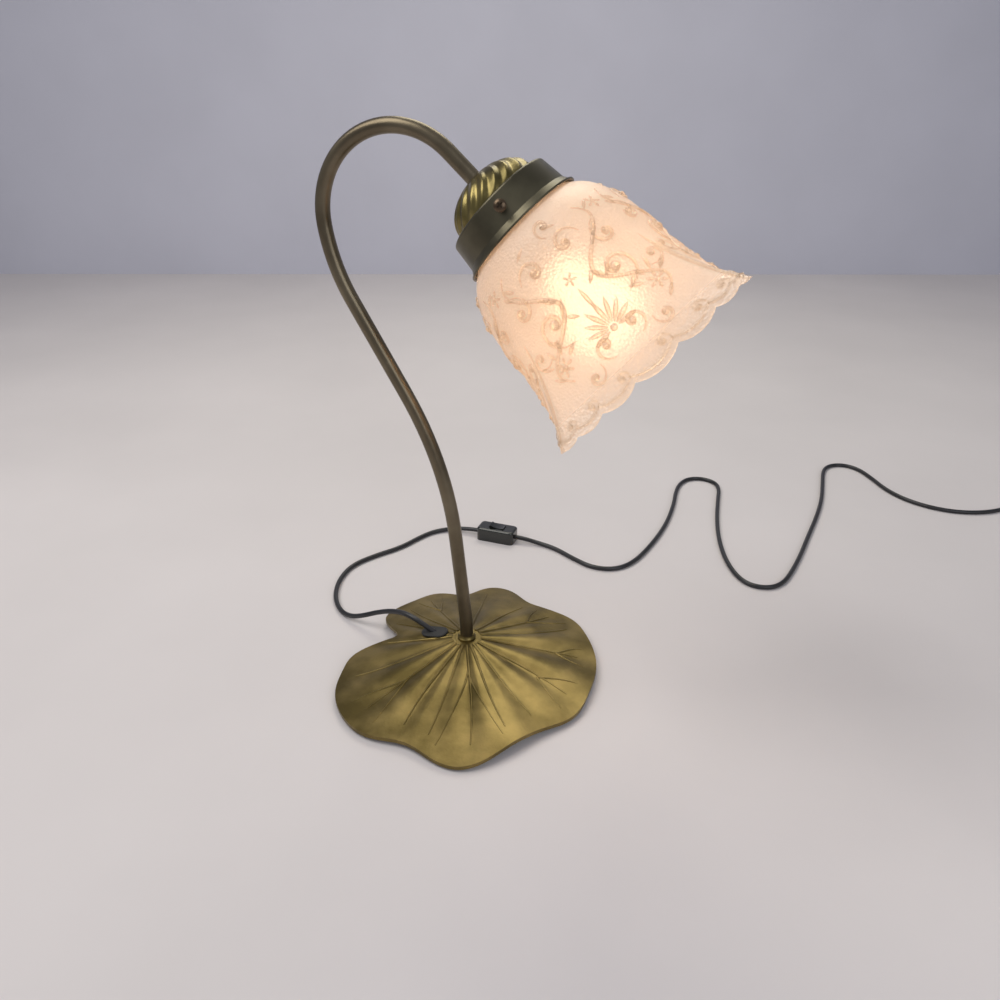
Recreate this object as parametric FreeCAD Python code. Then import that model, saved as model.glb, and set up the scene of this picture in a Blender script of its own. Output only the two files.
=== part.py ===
"""Tulip shade table lamp: cast lily-leaf foot, swan-neck tube and pressed-glass shade.

Millimetres, +Z up. The origin lies on the table, under the middle of the lamp without its
cord. The stem stands at STEM_X, STEM_Y, and the arm leans out along +X in the plane of
y = STEM_Y. Everything on the arm's end is modelled on the head axis, which leaves the
tube's end and points out of the shade's mouth, and is then laid along it.
"""
import FreeCAD
import Part
import math
import os

os.makedirs("parts", exist_ok=True)
Vec = FreeCAD.Vector
UP = Vec(0, 0, 1)
CENTRE = Vec(0, 0, 0)

# ---- running clearances --------------------------------------------------------------
SEAT_GAP = 0.3          # between pieces that rest on each other over a curved face
SLIP_GAP = 0.15         # round a piece that slides through a hole
SHAFT_GAP = 0.05        # round a pin or a screw's shank

# ---- foot: a cast lily leaf ----------------------------------------------------------
STEM_X = -48.8
STEM_Y = 9.6
HUB_TOP = 26.0          # top of the leaf's boss above the table
HUB_R = 10.0            # flat top of the boss
HUB_BOSS_R = 14.0       # boss under the leaf
HUB_BOSS_H = 4.0
LEAF_WALL = 4.5         # at the boss
LEAF_RIM_WALL = 3.4     # at the rim
LEAF_SLOPE = 1.3        # 1 is a plain cone, more is a hollow flare
LEAF_PILLOW = 3.4       # swell of the leaf between two veins
LEAF_STEPS = (0.0, 0.12, 0.26, 0.42, 0.58, 0.74, 0.88, 1.0)
LEAF_COLUMNS = 72
# Rim of the leaf round the stem: bearing in degrees, radius, height of the top edge. The
# notch, where the stalk of a real leaf would be, lies at 180 degrees.
LEAF_RIM = (
    (-176, 69, 14), (-168, 84, 11.5), (-158, 107, 8), (-146, 117, 7), (-130, 131, 6.5), (-108, 138, 6.5),
    (-90, 130, 8), (-70, 148, 5.5), (-50, 131, 11.5), (-38, 125, 9), (-22, 129, 6.5), (-5, 124, 8.5),
    (15, 122, 6.5), (35, 119, 8), (50, 119, 6.5), (64, 106, 10), (76, 104, 9), (92, 121, 6),
    (102, 118, 7), (113, 97, 10), (129, 111, 7), (144, 104, 10), (158, 106, 8), (168, 101, 9),
    (175, 85, 11.5),
)
LEAF_VEINS = (-166, -139, -115, -95, -83, -66, -51, -37, -14, 16, 41, 56, 74, 101, 120, 136, 152, 170)
PAD_R = 5.0             # rubber bumpers under the leaf
PAD_RING = 88.0
PAD_BEARINGS = (-135, -45, 40, 130)

# ---- stem hardware at the foot -------------------------------------------------------
THREAD_R = 4.9          # lamp nipple
NIPPLE_BORE_R = 3.3
NIPPLE_IN_TUBE = 10.0
WASHER_R = 9.0
WASHER_H = 1.0
NUT_FLATS = 14.0
NUT_H = 3.5
NUT_STICKOUT = 0.5
COLLAR_R = 8.4
COLLAR_H = 4.0

# ---- swan neck -----------------------------------------------------------------------
TUBE_R = 6.0
TUBE_WALL = 1.0
# Straight run, then the radius and the turn of the arc that follows it, left turns positive.
NECK_BENDS = ((12.0, 110.0, 5.7), (83.0, 311.0, 25.0), (87.0, 150.0, -23.5), (0.0, 65.2, -139.2))
NECK_LAST_RUN = 27.6

# ---- head: distances are along the head axis from the tube's end ---------------------
CAP_H = 24.5
CAP_R = 36.0
CAP_TOP_R = 7.6
CAP_WALL = 1.0
CAP_RIBS = 18
CAP_RIB_DEPTH = 1.6
CAP_TWIST = 34.0        # degrees that a rib turns from top to bottom
HOLDER_R = 44.0         # at its top
HOLDER_FOOT_R = 46.2    # where the lip starts
HOLDER_LIP_R = 50.3
HOLDER_H = 26.5
HOLDER_LIP_H = 6.0
HOLDER_WALL = 1.2
HEAD_NUT_H = 3.0
SHADE_SCREWS = 3
SCREW_DROP = 10.5       # below the holder's top
SCREW_BEARING = -20.0
SCREW_R = 2.0
SCREW_HEAD_R = 4.5
SCREW_HEAD_H = 2.8
SCREW_STANDOFF = 4.5    # head clear of the holder's wall, as screwed in
SCREW_TRAVEL = 4.0

# ---- glass shade ---------------------------------------------------------------------
SHADE_BEARING = -19.7   # middle of the panel that faces the front
SHADE_WALL = 4.0
SHADE_MOUTH = 181.3     # from the tube's end to the cusps of the rim
SHADE_HALF = 81.3       # half the square mouth
# Distance along the axis, radius at a panel's middle, radius at a corner.
SHADE_STATIONS = (
    (26.0, 41.6, 41.6), (30.5, 41.6, 41.6), (33.0, 40.0, 40.0), (38.0, 40.0, 40.0), (45.0, 41.2, 41.2),
    (50.0, 45.0, 45.0), (54.5, 51.5, 51.5), (61.0, 57.5, 57.5), (70.0, 62.5, 62.5), (84.0, 67.5, 67.5),
    (102.0, 70.5, 71.0), (122.0, 71.5, 76.5), (141.0, 73.0, 85.5), (157.0, 75.5, 95.5), (170.0, 78.0, 104.5),
    (181.3, 81.0, 115.0), (192.0, 84.0, 125.0),
)
# Bearings of the control points from a panel's middle; they close up towards the corners.
SHADE_COLUMNS = (0, 11, 21, 30, 37, 41.5, 44)
# Widths of the scallops along one side, measured towards growing bearings.
SCALLOPS = (8.5, 19.0, 31.0, 37.0, 29.0, 22.0)
SCALLOP_RISE = 0.15     # height of a scallop over its width

# ---- lamp socket and bulb ------------------------------------------------------------
SOCKET_R = 16.6
SOCKET_WALL = 0.8
SOCKET_CAP_H = 13.0
SOCKET_LAP = 3.0        # shell inside its cap
SOCKET_HUB_H = 3.0
SOCKET_H = 46.0
CORE_H = 12.0
SLEEVE_WALL = 0.7
SCREW_SHELL_R = 13.7
SCREW_SHELL_H = 24.0
CONTACT_H = 2.5
BULB_BASE_R = 13.1
BULB_BASE_H = 26.0
BULB_R = 30.0
BULB_LENGTH = 108.0
BULB_WALL = 0.8

# ---- cord ----------------------------------------------------------------------------
CORD_D = 5.0
FLOOR = CORD_D / 2      # height of a cord that lies on the table
HOLE_REACH = 33.0       # cord hole's distance from the stem
HOLE_LENGTH = 22.0
HOLE_WIDTH = 12.0
GROMMET_LIP = 2.2
GROMMET_LIP_H = 1.8
GROMMET_DEPTH = 8.0
LEAD_BEND_R = 7.0
CORD_START = 6.5        # from the hole's middle to where the cord is free
CORD_RISE = 13.0        # first run of the free cord, in line with the hole

# ---- in-line switch and plug ---------------------------------------------------------
SWITCH_X = -58.5        # from the stem, as all places on the table
SWITCH_Y = 232.0
SWITCH_L = 46.0
SWITCH_W = 22.0
SWITCH_H = 16.0
SWITCH_SPLIT = 7.0
SWITCH_WALL = 1.8
SWITCH_ROUND = 5.0
CORD_IN_SWITCH = 5.0
ROCKER_L = 17.0
ROCKER_W = 9.6
ROCKER_PROUD = 2.6
ROCKER_TILT = 8.0
ROCKER_GAP = 0.9        # at the rocker's ends, which swing
ROCKER_SIDE_GAP = 0.4
PIVOT_R = 1.0
PIVOT_DROP = 3.6        # pivot below the switch's top
POST_R = 2.4
CASE_SCREW_R = 1.2
CASE_SCREW_HEAD_R = 1.85
CASE_SCREW_SINK = 2.0
CASE_SCREW_L = 9.0
PLUG_L = 28.0
PLUG_W = 23.0
PLUG_T = 14.0
PLUG_NOSE = 20.0        # tapered strain relief behind the body
BLADE_L = 16.0
BLADE_W = 6.3
BLADE_T = 1.5
BLADE_PITCH = 12.7

CORD_APPROACH = 9.0     # straight cord outside the switch
PLUG_POINT = (570.0, 603.0)
PLUG_HEADING = 58.0
PLUG_APPROACH = 20.0    # straight cord behind the plug

# Route of the cord from the leaf to the switch, after the point where it leaves the
# grommet: a low hump over the leaf's back lobe, then round on the table.
LAMP_ROUTE = (
    (-66, 4, 34.5), (-84, 10, 29), (-103, 14.5, 20), (-121, 15, 11), (-138, 18, 4.5), (-156, 28, FLOOR),
    (-174, 50, FLOOR), (-186, 80, FLOOR), (-188, 112, FLOOR), (-174, 140, FLOOR), (-155, 167, FLOOR),
    (-145, 197, FLOOR), (-135, 218, FLOOR), (-115, 231.5, 3.6),
)
# Route from the switch to the plug: slack waves away from the lamp.
PLUG_ROUTE = (
    (-8, 234, 3.4), (15, 230, FLOOR), (41, 215, FLOOR), (67, 203, FLOOR), (92, 208, FLOOR),
    (108, 230, FLOOR), (118, 274, FLOOR), (125, 332, FLOOR), (124, 392, FLOOR), (119, 434, FLOOR),
    (120, 462, FLOOR), (128, 480.5, FLOOR), (146, 488, FLOOR), (164.5, 480.5, FLOOR), (172, 462, FLOOR),
    (175, 430, FLOOR), (180, 384, FLOOR), (187, 340, FLOOR), (196, 302, FLOOR), (208, 267, FLOOR),
    (223.5, 239, FLOOR), (239.5, 227, FLOOR), (259, 230, FLOOR), (271, 246, FLOOR), (278, 274, FLOOR),
    (285, 318, FLOOR), (291, 370, FLOOR), (298, 425, FLOOR), (302, 480, FLOOR), (301, 532, FLOOR),
    (300, 578, FLOOR), (309, 598, FLOOR), (327, 606, FLOOR), (346, 598, FLOOR), (363, 573, FLOOR),
    (382, 537, FLOOR), (413, 509, FLOOR), (458, 498, FLOOR), (504, 514, FLOOR), (539, 552, FLOOR),
)


# ---- helpers -------------------------------------------------------------------------
def edges_of(points):
    """Edges round a list of (x, z) points; (x, z, mx, mz) is reached by an arc through (mx, mz)."""
    edges = []
    for here, there in zip(points, points[1:] + points[:1]):
        start, end = Vec(here[0], 0, here[1]), Vec(there[0], 0, there[1])
        if len(there) == 4:
            edges.append(Part.Arc(start, Vec(there[2], 0, there[3]), end).toShape())
        else:
            edges.append(Part.makeLine(start, end))
    return edges


def turned(points):
    """Solid of revolution about Z from a closed outline of (radius, height) points."""
    return Part.Face(Part.Wire(edges_of(list(points)))).revolve(CENTRE, UP, 360)


def ring(outer, inner, low, high):
    """Plain tube about Z."""
    return turned([(inner, low), (outer, low), (outer, high), (inner, high)])


def rod(radius, low, high):
    """Plain cylinder about Z."""
    return Part.makeCylinder(radius, high - low, Vec(0, 0, low))


def stadium(length, width, low, high):
    """Upright prism with round ends, long side along X."""
    half, r = (length - width) / 2, width / 2
    outline = [
        Part.makeLine(Vec(-half, -r, low), Vec(half, -r, low)),
        Part.Arc(Vec(half, -r, low), Vec(half + r, 0, low), Vec(half, r, low)).toShape(),
        Part.makeLine(Vec(half, r, low), Vec(-half, r, low)),
        Part.Arc(Vec(-half, r, low), Vec(-half - r, 0, low), Vec(-half, -r, low)).toShape(),
    ]
    return Part.Face(Part.Wire(outline)).extrude(Vec(0, 0, high - low))


def hexagon(flats, low, high):
    """Upright hexagonal prism."""
    r = flats / 2 / math.cos(math.radians(30))
    turns = [math.radians(60 * k) for k in range(7)]
    corners = [Vec(r * math.cos(a), r * math.sin(a), low) for a in turns]
    return Part.Face(Part.makePolygon(corners)).extrude(Vec(0, 0, high - low))


def skin(rows):
    """Cubic surface, closed round each row of control points and open from the first row to the last."""
    columns, count = len(rows[0]), len(rows)
    poles = [[row[i] for row in rows] for i in range(columns)]
    surface = Part.BSplineSurface()
    surface.buildFromPolesMultsKnots(
        poles,
        [1] * (columns + 1), [4] + [1] * (count - 4) + [4],
        list(range(columns + 1)), list(range(count - 2)),
        True, False, 3, 3)
    return surface


def end_ring(surface, last):
    """First or last edge round a skin."""
    low, high = surface.bounds()[2:]
    return surface.vIso(high if last else low).toShape()


def sewn(faces):
    """One solid from faces that meet edge to edge."""
    shell = Part.makeShell(faces)
    shell.sewShape()
    solid = Part.Solid(shell)
    if solid.Volume < 0:
        solid.reverse()
    return solid


def capped(rows):
    """Solid inside a skin whose first and last rows are flat."""
    surface = skin(rows)
    flat = [Part.Face(Part.Wire([end_ring(surface, last)])) for last in (False, True)]
    return sewn([surface.toShape()] + flat)


def smooth_ring(table, bearing):
    """Values of a table of (bearing, value, ...) rows at one bearing, smooth all the way round."""
    count = len(table)
    after = next((k for k in range(count) if table[k][0] > bearing), 0)
    rows = [table[(after + shift) % count] for shift in (-2, -1, 0, 1)]
    at = [row[0] for row in rows]
    for k in (1, 2, 3):
        at[k] = at[k - 1] + (at[k] - at[k - 1]) % 360
    span = at[2] - at[1]
    t = ((bearing - at[1]) % 360) / span
    values = []
    for column in range(1, len(rows[0])):
        v = [row[column] for row in rows]
        m1 = (v[2] - v[0]) / (at[2] - at[0]) * span
        m2 = (v[3] - v[1]) / (at[3] - at[1]) * span
        values.append((2 * t ** 3 - 3 * t ** 2 + 1) * v[1] + (t ** 3 - 2 * t ** 2 + t) * m1
                      + (3 * t ** 2 - 2 * t ** 3) * v[2] + (t ** 3 - t ** 2) * m2)
    return values


def bent_edges(start, heading, bends, last_run):
    """Edges of a path of runs and arcs in the stem's XZ plane, with its end and last heading."""
    x, z = start
    turn_so_far = heading
    edges = []
    for run, radius, turn in bends + ((last_run, None, None),):
        dx, dz = math.cos(math.radians(turn_so_far)), math.sin(math.radians(turn_so_far))
        if run:
            edges.append(Part.makeLine(Vec(x, 0, z), Vec(x + dx * run, 0, z + dz * run)))
            x, z = x + dx * run, z + dz * run
        if radius:
            side = math.copysign(1, turn)
            cx, cz = x - side * dz * radius, z + side * dx * radius
            points = []
            for share in (0, 0.5, 1):
                a = math.radians(turn_so_far + turn * share)
                points.append(Vec(cx + side * radius * math.sin(a), 0, cz - side * radius * math.cos(a)))
            edges.append(Part.Arc(*points).toShape())
            x, z = points[2].x, points[2].z
            turn_so_far += turn
    return edges, (x, z), turn_so_far


def piped(edges, radius):
    """Round rod along edges that run on from each other."""
    path = Part.Wire(edges)
    first = edges[0]
    start = first.valueAt(first.FirstParameter)
    along = first.tangentAt(first.FirstParameter)
    section = Part.Wire([Part.Circle(start, along, radius).toShape()])
    return path.makePipeShell([section], True, False)


def routed(points, radius, name):
    """Cord along a route, with each corner rounded as widely as its two runs allow."""
    points = [Vec(*p) for p in points]
    edges, radii = [], []
    here = points[0]
    length = 0.0
    for before, corner, after in zip(points, points[1:], points[2:]):
        into, out = corner - before, after - corner
        reach = 0.45 * min(into.Length, out.Length)
        into.normalize()
        out.normalize()
        half_turn = into.getAngle(out) / 2
        radii.append(reach / math.tan(half_turn))
        first, last = corner - into * reach, corner + out * reach
        bisector = (out - into).normalize()
        centre = corner + bisector * (reach / math.sin(half_turn))
        middle = centre - bisector * radii[-1]
        edges.append(Part.LineSegment(here, first).toShape())
        edges.append(Part.Arc(first, middle, last).toShape())
        length += (first - here).Length + 2 * half_turn * radii[-1]
        here = last
    edges.append(Part.LineSegment(here, points[-1]).toShape())
    length += (points[-1] - here).Length
    solid = piped(edges, radius)
    print(name, "length %.0f" % length, "least radius %.1f" % min(radii),
          "volume share %.4f" % (solid.Volume / (math.pi * radius ** 2 * length)))
    print("   radii", " ".join("%.0f" % r for r in radii))
    return solid


# ---- the leaf ------------------------------------------------------------------------
def pillow(bearing):
    """Share of the full swell at a bearing: none on a vein, full midway between two."""
    veins = LEAF_VEINS + (LEAF_VEINS[0] + 360,)
    if bearing < veins[0]:
        bearing += 360
    low, high = next((a, b) for a, b in zip(veins, veins[1:]) if a <= bearing <= b)
    width = min(1.0, (high - low) / 22)
    return width * math.sin(math.pi * (bearing - low) / (high - low))


def leaf_point(bearing, step, under):
    """Control point of the leaf's top or underside."""
    rim_r, rim_z = smooth_ring(LEAF_RIM, bearing)
    r = HUB_R + (rim_r - HUB_R) * step
    z = rim_z + (HUB_TOP - rim_z) * (1 - step) ** LEAF_SLOPE
    z += LEAF_PILLOW * pillow(bearing) * math.sin(math.pi * step)
    if under:
        z -= LEAF_WALL + (LEAF_RIM_WALL - LEAF_WALL) * step
    a = math.radians(bearing)
    return Vec(r * math.cos(a), r * math.sin(a), z)


def leaf_rows(under):
    bearings = [-180 + 360 * k / LEAF_COLUMNS for k in range(LEAF_COLUMNS)]
    return [[leaf_point(b, step, under) for b in bearings] for step in LEAF_STEPS]


def leaf_blank():
    """Leaf round the stem as a plain shell, before its boss and holes."""
    top, under = skin(leaf_rows(False)), skin(leaf_rows(True))
    edges = [Part.makeRuledSurface(end_ring(top, last), end_ring(under, last)) for last in (False, True)]
    return sewn([top.toShape(), under.toShape()] + edges)


def height_of(surface_solid, x, y, top):
    """Height where an upright line meets a solid, at its highest or lowest point."""
    line = Part.makeLine(Vec(x, y, -10), Vec(x, y, 200))
    box = surface_solid.common(line).BoundBox
    return box.ZMax if top else box.ZMin


def build_foot(nodes):
    """Leaf, pads, boss hardware and the grommet of the cord hole."""
    blank = leaf_blank()
    hole_z = height_of(blank, -HOLE_REACH, 0, True)
    inner_z = height_of(blank, -HOLE_REACH + HOLE_LENGTH / 2, 0, True)
    outer_z = height_of(blank, -HOLE_REACH - HOLE_LENGTH / 2, 0, True)
    seat_tilt = math.degrees(math.atan2(inner_z - outer_z, HOLE_LENGTH))
    seat = FreeCAD.Placement(Vec(-HOLE_REACH, 0, hole_z), FreeCAD.Rotation(Vec(0, 1, 0), -seat_tilt))

    boss = rod(HUB_BOSS_R, HUB_TOP - HUB_BOSS_H, HUB_TOP).common(rod(HUB_BOSS_R, 0, HUB_TOP - 0.2))
    boss = boss.fuse(rod(HUB_R + 0.5, HUB_TOP - HUB_BOSS_H, HUB_TOP))
    hole = stadium(HOLE_LENGTH, HOLE_WIDTH, -GROMMET_DEPTH * 2, GROMMET_DEPTH * 2)
    hole.Placement = seat
    leaf = blank.fuse(boss).cut(rod(THREAD_R + SLIP_GAP, -1, HUB_TOP + 1)).cut(hole)
    nodes["base_leaf"] = leaf

    pads = []
    for bearing in PAD_BEARINGS:
        x, y = PAD_RING * math.cos(math.radians(bearing)), PAD_RING * math.sin(math.radians(bearing))
        top = height_of(blank, x, y, False)
        pad = turned([(0, 0), (PAD_R - 0.6, 0), (PAD_R, 0.8), (PAD_R, top + 2), (0, top + 2)])
        pad.translate(Vec(x, y, 0))
        pads.append(pad.cut(blank))
    nodes["foot_pads"] = Part.makeCompound([max(p.Solids, key=lambda s: s.Volume) for p in pads])

    under = HUB_TOP - HUB_BOSS_H
    nut_low = under - WASHER_H - NUT_H
    nodes["base_washer"] = ring(WASHER_R, THREAD_R + SLIP_GAP, under - WASHER_H, under)
    threaded = rod(THREAD_R + SHAFT_GAP, 0, HUB_TOP)
    nodes["base_nut"] = hexagon(NUT_FLATS, nut_low, under - WASHER_H).cut(threaded)
    nodes["base_nipple"] = ring(THREAD_R, NIPPLE_BORE_R, nut_low - NUT_STICKOUT, HUB_TOP + NIPPLE_IN_TUBE)
    nodes["stem_collar"] = turned([
        (TUBE_R + SHAFT_GAP, HUB_TOP), (COLLAR_R, HUB_TOP), (COLLAR_R, HUB_TOP + 0.4 * COLLAR_H),
        (TUBE_R + 0.9, HUB_TOP + COLLAR_H, TUBE_R + 1.6, HUB_TOP + 0.62 * COLLAR_H),
        (TUBE_R + SHAFT_GAP, HUB_TOP + COLLAR_H)])

    lead_end = nut_low - NUT_STICKOUT
    bend_x, bend_z = -LEAD_BEND_R, lead_end
    away = math.hypot(bend_x + HOLE_REACH, bend_z - hole_z)
    dip = math.atan2(bend_z - hole_z, bend_x + HOLE_REACH) - math.asin(LEAD_BEND_R / away)
    along = Vec(math.cos(dip), 0, math.sin(dip))
    hole_middle = Vec(-HOLE_REACH, 0, hole_z)
    bore = Part.makeCylinder(CORD_D / 2 + SLIP_GAP, 60, hole_middle - along * 30, along)
    grommet = stadium(HOLE_LENGTH - 2 * SLIP_GAP, HOLE_WIDTH - 2 * SLIP_GAP, -GROMMET_DEPTH, GROMMET_LIP_H)
    lip = stadium(HOLE_LENGTH + 2 * GROMMET_LIP, HOLE_WIDTH + 2 * GROMMET_LIP, 0, GROMMET_LIP_H)
    top_edges = [e for e in lip.Edges if e.BoundBox.ZMin > GROMMET_LIP_H - 0.01]
    lip = lip.makeChamfer(0.45 * GROMMET_LIP_H, top_edges)
    grommet = grommet.fuse(lip)
    grommet.Placement = seat
    nodes["cord_grommet"] = grommet.cut(bore).cut(blank.cut(hole))
    free_end = hole_middle - along * CORD_START
    return free_end, along, lead_end


def build_neck(nodes, free_end, along, lead_end):
    """Bent tube and the lead inside it; returns the placement of the head."""
    edges, end, heading = bent_edges((0, HUB_TOP), 90, NECK_BENDS, NECK_LAST_RUN)
    nodes["neck_tube"] = piped(edges, TUBE_R).cut(piped(edges, TUBE_R - TUBE_WALL))

    touch = Vec(-LEAD_BEND_R, 0, lead_end) - Vec(-along.z, 0, along.x) * LEAD_BEND_R
    half_way = math.radians(45) + math.atan2(along.z, along.x) / 2
    middle = Vec(-LEAD_BEND_R * (1 - math.sin(half_way)), 0, lead_end - LEAD_BEND_R * math.cos(half_way))
    lead_rise = Vec(0, 0, lead_end)
    lead = [Part.makeLine(free_end, touch), Part.Arc(touch, middle, lead_rise).toShape(),
            Part.makeLine(lead_rise, Vec(0, 0, HUB_TOP))]
    a = math.radians(heading)
    reach = CAP_H + HOLDER_WALL + HEAD_NUT_H + SOCKET_CAP_H - SOCKET_LAP
    neck_end = Vec(end[0], 0, end[1])
    tail = Part.makeLine(neck_end, neck_end + Vec(math.cos(a), 0, math.sin(a)) * reach)
    nodes["inner_lead"] = piped(lead + edges + [tail], CORD_D / 2)

    across = Vec(0, -1, 0)
    axis = Vec(math.cos(a), 0, math.sin(a))
    down = axis.cross(across)
    head = FreeCAD.Placement(FreeCAD.Matrix(
        across.x, down.x, axis.x, end[0],
        across.y, down.y, axis.y, 0,
        across.z, down.z, axis.z, end[1],
        0, 0, 0, 1))
    print("neck ends at", [round(v, 2) for v in end], "heading", heading)
    return head


# ---- the head ------------------------------------------------------------------------
def cap_rows(inset):
    """Control rows of the domed cap, with ribs that swirl down it."""
    rows = []
    steps = (0.0, 0.06, 0.2, 0.4, 0.6, 0.8, 0.93, 1.0)
    for step in steps:
        z = CAP_H * step
        r = CAP_TOP_R + (CAP_R - CAP_TOP_R) * math.sqrt(1 - (1 - step) ** 2) ** 1.15
        depth = CAP_RIB_DEPTH * math.sin(math.pi * min(1.0, step * 1.05)) ** 0.5
        row = []
        for k in range(4 * CAP_RIBS):
            a = math.radians(90 * k / CAP_RIBS + CAP_TWIST * step)
            rib = depth * math.cos(math.radians(90 * k))
            row.append(Vec((r + rib - inset) * math.cos(a), (r + rib - inset) * math.sin(a), z))
        rows.append(row)
    return rows


def build_cap_and_holder(nodes):
    """Swirl-ribbed cap, the shade holder and the nipple and nut that hold them to the neck."""
    hollow = turned([
        (0, CAP_WALL), (CAP_TOP_R, CAP_WALL),
        (CAP_R - CAP_RIB_DEPTH - CAP_WALL, CAP_H,
         CAP_TOP_R + 0.68 * (CAP_R - CAP_TOP_R) - CAP_WALL, CAP_WALL + 0.36 * CAP_H), (0, CAP_H)])
    nodes["cap_dome"] = capped(cap_rows(0)).cut(hollow).cut(rod(THREAD_R + SLIP_GAP, -5, CAP_H))

    top, bottom = CAP_H, CAP_H + HOLDER_H
    lip_top = bottom - HOLDER_LIP_H
    wall = HOLDER_WALL
    holder = turned([
        (THREAD_R + SLIP_GAP, top), (HOLDER_R - 2, top), (HOLDER_R, top + 2, HOLDER_R - 0.6, top + 0.6),
        (HOLDER_FOOT_R, lip_top), (HOLDER_LIP_R - wall, bottom - wall), (HOLDER_LIP_R, bottom - wall),
        (HOLDER_LIP_R, bottom), (HOLDER_LIP_R - 1.4 * wall, bottom),
        (HOLDER_FOOT_R - wall, lip_top + 0.4 * wall), (HOLDER_R - wall, top + wall),
        (THREAD_R + SLIP_GAP, top + wall)])
    for k in range(SHADE_SCREWS):
        holder = holder.cut(screw_placed(rod(SCREW_R + SHAFT_GAP, HOLDER_R - 8, HOLDER_R + 8), k))
    nodes["shade_holder"] = holder

    nodes["head_nipple"] = ring(THREAD_R, NIPPLE_BORE_R, -NIPPLE_IN_TUBE, top + wall + HEAD_NUT_H + 2.5)
    nodes["head_nut"] = hexagon(NUT_FLATS, top + wall, top + wall + HEAD_NUT_H).cut(
        rod(THREAD_R + SHAFT_GAP, 0, bottom))


def screw_placed(shape, index):
    """A piece made along +Z, laid radially out of the holder at one of its screws."""
    bearing = SCREW_BEARING + 360 * index / SHADE_SCREWS
    shape = shape.copy()
    shape.rotate(CENTRE, Vec(0, 1, 0), 90)
    shape.rotate(CENTRE, UP, bearing)
    shape.translate(Vec(0, 0, CAP_H + SCREW_DROP))
    return shape


def build_shade_screws(nodes):
    """Cross-head screws whose tips hold the glass neck."""
    share = (SCREW_DROP - 2) / (HOLDER_H - HOLDER_LIP_H - 2)
    wall_r = HOLDER_R + (HOLDER_FOOT_R - HOLDER_R) * share
    head = wall_r + SCREW_STANDOFF
    tip = SHADE_STATIONS[2][1] + SEAT_GAP
    for k in range(SHADE_SCREWS):
        screw = turned([
            (0, tip), (SCREW_R - 0.6, tip), (SCREW_R, tip + 0.6), (SCREW_R, head), (SCREW_HEAD_R, head),
            (SCREW_HEAD_R, head + 0.45 * SCREW_HEAD_H),
            (0, head + SCREW_HEAD_H, 0.62 * SCREW_HEAD_R, head + 0.88 * SCREW_HEAD_H)])
        for turn in (0, 90):
            slot = Part.makeBox(4.6, 0.9, 2.4, Vec(-2.3, -0.45, head + SCREW_HEAD_H - 1.6))
            slot.rotate(CENTRE, UP, turn)
            screw = screw.cut(slot)
        nodes["shade_screw_%d" % (k + 1)] = screw_placed(screw, k)


# ---- the glass shade -----------------------------------------------------------------
def shade_rows(inset, first, last):
    """Control rows of the shade's skin, with its end rows moved to the given distances."""
    bearings = []
    for quarter in range(4):
        half = list(SHADE_COLUMNS)
        bearings += [90 * quarter + b for b in [-b for b in reversed(half[1:])] + half]
    rows = []
    stations = list(SHADE_STATIONS)
    stations[0] = (first,) + stations[0][1:]
    stations[-1] = (last,) + stations[-1][1:]
    for z, panel, corner in stations:
        blend = (corner / panel - 1) / (math.sqrt(2) - 1)
        row = []
        for b in bearings:
            a = math.radians(b)
            square = 1 / max(abs(math.cos(a)), abs(math.sin(a)))
            r = (panel - inset) * (1 + blend * (square - 1))
            row.append(Vec(r * math.cos(a), r * math.sin(a), z))
        rows.append(row)
    return rows


def scallop_cutter():
    """Tool that trims one side of the mouth to its row of scallops."""
    reach = 60.0
    side = 2 * SHADE_HALF
    widths = list(SCALLOPS) + [side - sum(SCALLOPS)]
    points = [(-SHADE_HALF - reach, SHADE_MOUTH), (-SHADE_HALF, SHADE_MOUTH)]
    at = -SHADE_HALF
    for width in widths:
        points.append((at + width, SHADE_MOUTH, at + width / 2, SHADE_MOUTH + SCALLOP_RISE * width))
        at += width
    points += [(SHADE_HALF + reach, SHADE_MOUTH), (SHADE_HALF + reach, SHADE_MOUTH + reach),
               (-SHADE_HALF - reach, SHADE_MOUTH + reach)]
    prism = Part.Face(Part.Wire(edges_of(points))).extrude(Vec(0, -SHADE_HALF - reach, 0))
    far = SHADE_HALF + reach
    wedge = Part.Face(Part.makePolygon([Vec(0, 0, SHADE_MOUTH - 1), Vec(-far, -far, SHADE_MOUTH - 1),
                                        Vec(far, -far, SHADE_MOUTH - 1), Vec(0, 0, SHADE_MOUTH - 1)]))
    return prism.common(wedge.extrude(Vec(0, 0, reach + 2)))


def build_shade(nodes):
    """Pressed glass: round neck, square scalloped mouth with four drawn-out corners."""
    end = SHADE_STATIONS[-1][0]
    start = SHADE_STATIONS[0][0]
    glass = capped(shade_rows(0, start, end)).cut(capped(shade_rows(SHADE_WALL, start - 2, end + 2)))
    cutter = scallop_cutter()
    cutter.rotate(CENTRE, UP, 90)
    for quarter in range(4):
        tool = cutter.copy()
        tool.rotate(CENTRE, UP, 90 * quarter)
        glass = glass.cut(tool)
    glass.rotate(CENTRE, UP, SHADE_BEARING)
    nodes["glass_shade"] = glass


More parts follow.
